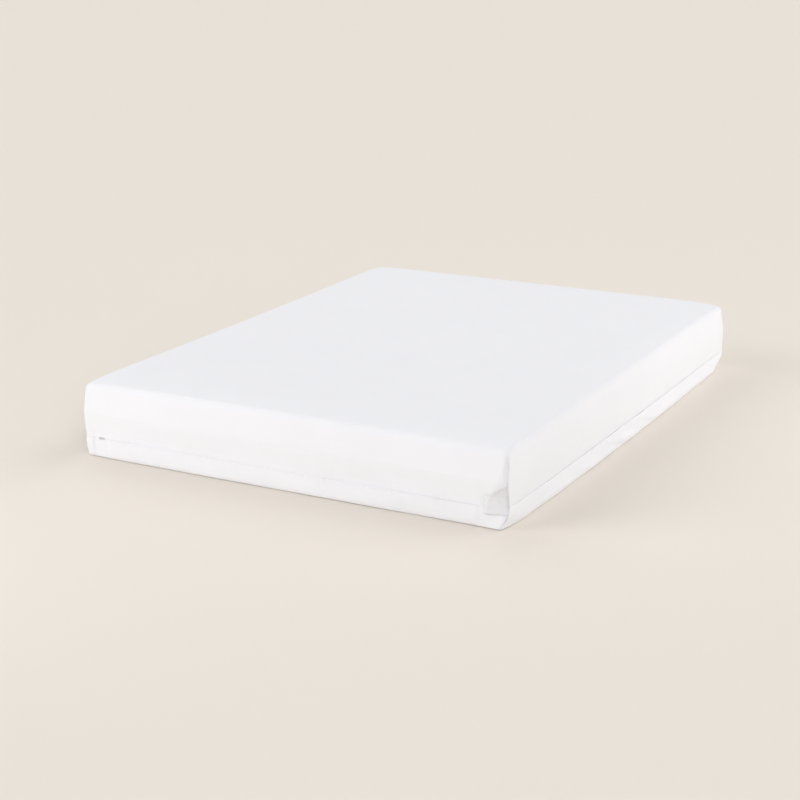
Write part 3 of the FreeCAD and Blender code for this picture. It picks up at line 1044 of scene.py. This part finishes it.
# rows close together where the ridge bends the wall
ridge_wall = np.array([0.157, 0.153, 0.150, 0.148, 0.146, 0.143, 0.138, 0.131, 0.123, 0.115, 0.108])
low_wall = np.arange(0.104, upper_hem_edge + 0.0035, -0.0028)
hem_insets, hem_heights = hem_rows(upper_hem_edge, 1)
rounding_to_wall = 0.007
wall_to_hem = 0.004
rounded, down = add_band(top, round_insets, round_heights, 0)
top.cap(top_points, np.stack([top_x, top_y], -1), rounded[0])
middle_heights = np.concatenate([upper_wall, ridge_wall])
middle_insets = np.zeros(len(middle_heights))
middle, down = add_band(top, middle_insets, middle_heights, 1, down + rounding_to_wall, rounded[-1])
low_insets = np.concatenate([np.zeros(len(low_wall)), hem_insets[::-1]])
low_heights = np.concatenate([low_wall, hem_heights[::-1]])
down = add_band(top, low_insets, low_heights, 2, down + wall_to_hem, middle[-1])[1]
top_piece = top.make("top_cover_knit")
thicken(top_piece, cover_thick)
top_piece.data.materials.append(knit)
ride_and_slot(top_piece, "top_cover", "top_cover_sheet")

# ---- Threads and zip of the upper half ----
# The same stitches, tape and coil on the top cover, whose hem they hold. The coil ends short of the
# parked slider.

upper_stitch = upper_hem_edge + stitch_from_edge
seam_rows("upper", "top_cover", upper_stitch, upper_stitch + 0.002, height - top_round_down)
zip_tape("upper_zip_tape_weave", "top_cover", "upper_zip_tape")
upper_coil_end = half_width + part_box("zip_slider")[0].x - 0.0015
zip_coil("upper_zip_coil_turns", "top_cover", "upper_zip_coil", 1, upper_coil_end)

# ---- Slider and pull ----
# Cast zinc under white enamel: smooth and slightly pooled, rubbed thin on its raised places. The
# slider runs on the coils and the pull swings on a pin at its front.

enamel, tree, surface, place = new_material("slider_enamel")
surface.inputs["Coat Roughness"].default_value = 0.12
pooled = node(tree, "ShaderNodeTexNoise", Scale=160.0, Detail=3.0)
rubbed = node(tree, "ShaderNodeTexNoise", Scale=900.0, Detail=5.0, Roughness=0.65)
for pattern in (pooled, rubbed):
    feed(place["Object"], pattern.inputs["Vector"])
worn = maths("MULTIPLY", maths("SUBTRACT", rubbed.outputs[0], 0.66), 9.0)
worn = maths("MINIMUM", maths("MAXIMUM", worn, 0.0), 1.0)
paint(surface, worn, (0.82, 0.82, 0.82), (0.45, 0.45, 0.46))
feed(maths("MULTIPLY", worn, 0.8), surface.inputs["Metallic"])
feed(maths("MULTIPLY_ADD", worn, -0.4, 0.4), surface.inputs["Coat Weight"])
feed(maths("MULTIPLY_ADD", pooled.outputs[0], 0.25, 0.2), surface.inputs["Roughness"])
thick = maths("MULTIPLY_ADD", worn, -0.5, pooled.outputs[0])
emboss(surface, thick, 0.3, 0.0001)
coat(enamel, "zip_slider", "zip_pull")

# ---- Studio: floor, light and camera ----
# A plain pale floor under wide soft lights: a key from the front right, low light from the front
# left, weaker light from behind, and a small soft box by either far end of the near faces.

floor_mesh = bpy.data.meshes.new("floor")
floor_corners = np.array([(-1, -1, 0), (1, -1, 0), (1, 1, 0), (-1, 1, 0)]) * 60.0
floor_mesh.from_pydata(floor_corners.tolist(), [], [(0, 1, 2, 3)])
floor = bpy.data.objects.new("floor", floor_mesh)
floor.location.z = -0.0004
bpy.context.collection.objects.link(floor)
floor_paint = bpy.data.materials.new("floor_paint")
floor_paint.use_nodes = True
floor_surface = floor_paint.node_tree.nodes["Principled BSDF"]
floor_surface.inputs["Base Color"].default_value = (0.825, 0.765, 0.69, 1)
floor_surface.inputs["Roughness"].default_value = 1.0
floor_surface.inputs["Specular IOR Level"].default_value = 0.0
floor_mesh.materials.append(floor_paint)


def lamp(name, kind, strength, colour):
    """Adds a light and gives it with its holder."""
    light = bpy.data.lights.new(name, kind)
    light.energy = strength
    light.color = colour
    holder = bpy.data.objects.new(name, light)
    bpy.context.collection.objects.link(holder)
    return light, holder


def sun(name, azimuth, elevation, strength, spread, colour=(1.0, 1.0, 1.0)):
    """Soft distant light from a compass direction (0 is the foot end, 90 the right side)."""
    light, holder = lamp(name, "SUN", strength, colour)
    light.angle = math.radians(spread)
    holder.rotation_euler = (math.radians(90 - elevation), 0, math.radians(azimuth))


def soft_box(name, place, target, size, power, colour):
    """Small lit panel at a place, facing a target."""
    light, holder = lamp(name, "AREA", power, colour)
    light.shape = "RECTANGLE"
    light.size, light.size_y = size
    holder.location = place
    holder.rotation_euler = (Vector(target) - Vector(place)).to_track_quat("-Z", "Y").to_euler()


cool_white = (0.97, 0.98, 1.0)
sun("left_low", -50, 6, 1.42, 45, cool_white)
sun("left_high", -55, 30, 0.94, 45, (0.975, 0.98, 1.0))
sun("right_high", 100, 60, 0.47, 45)
sun("front_key", 40, 30, 1.42, 45, (0.965, 0.965, 1.0))
sun("right_low", 95, 12, 0.44, 45, cool_white)
sun("far_left", -130, 45, 0.96, 50)
sun("far_right", 140, 35, 0.97, 50)
soft_box("left_box", (-1.2, -2.6, 0.5), (-0.75, -1.0, 0.15), (1.0, 0.8), 3.2, cool_white)
soft_box("right_box", (2.6, 0.9, 0.5), (0.75, 0.7, 0.15), (1.0, 0.8), 6.2, cool_white)

# the air has the lit floor's tone where the camera sees it past the floor, and lights nothing
world = bpy.data.worlds.new("studio_air")
world.use_nodes = True
air = world.node_tree.nodes["Background"]
air.inputs["Color"].default_value = (0.807, 0.753, 0.686, 1)
ray = world.node_tree.nodes.new("ShaderNodeLightPath")
feed(ray.outputs["Is Camera Ray"], air.inputs["Strength"])
bpy.context.scene.world = world

camera = bpy.data.cameras.new("camera")
camera.lens = 78.0
camera.sensor_width = 36
camera.clip_end = 200
holder = bpy.data.objects.new("camera", camera)
holder.location = (2.641, -5.262, 1.790)
holder.rotation_euler = (math.radians(90 - 16.69), 0, math.radians(27.70))
bpy.context.collection.objects.link(holder)
bpy.context.scene.camera = holder
bpy.context.scene.view_settings.view_transform = "Standard"
bpy.context.scene.view_settings.look = "None"
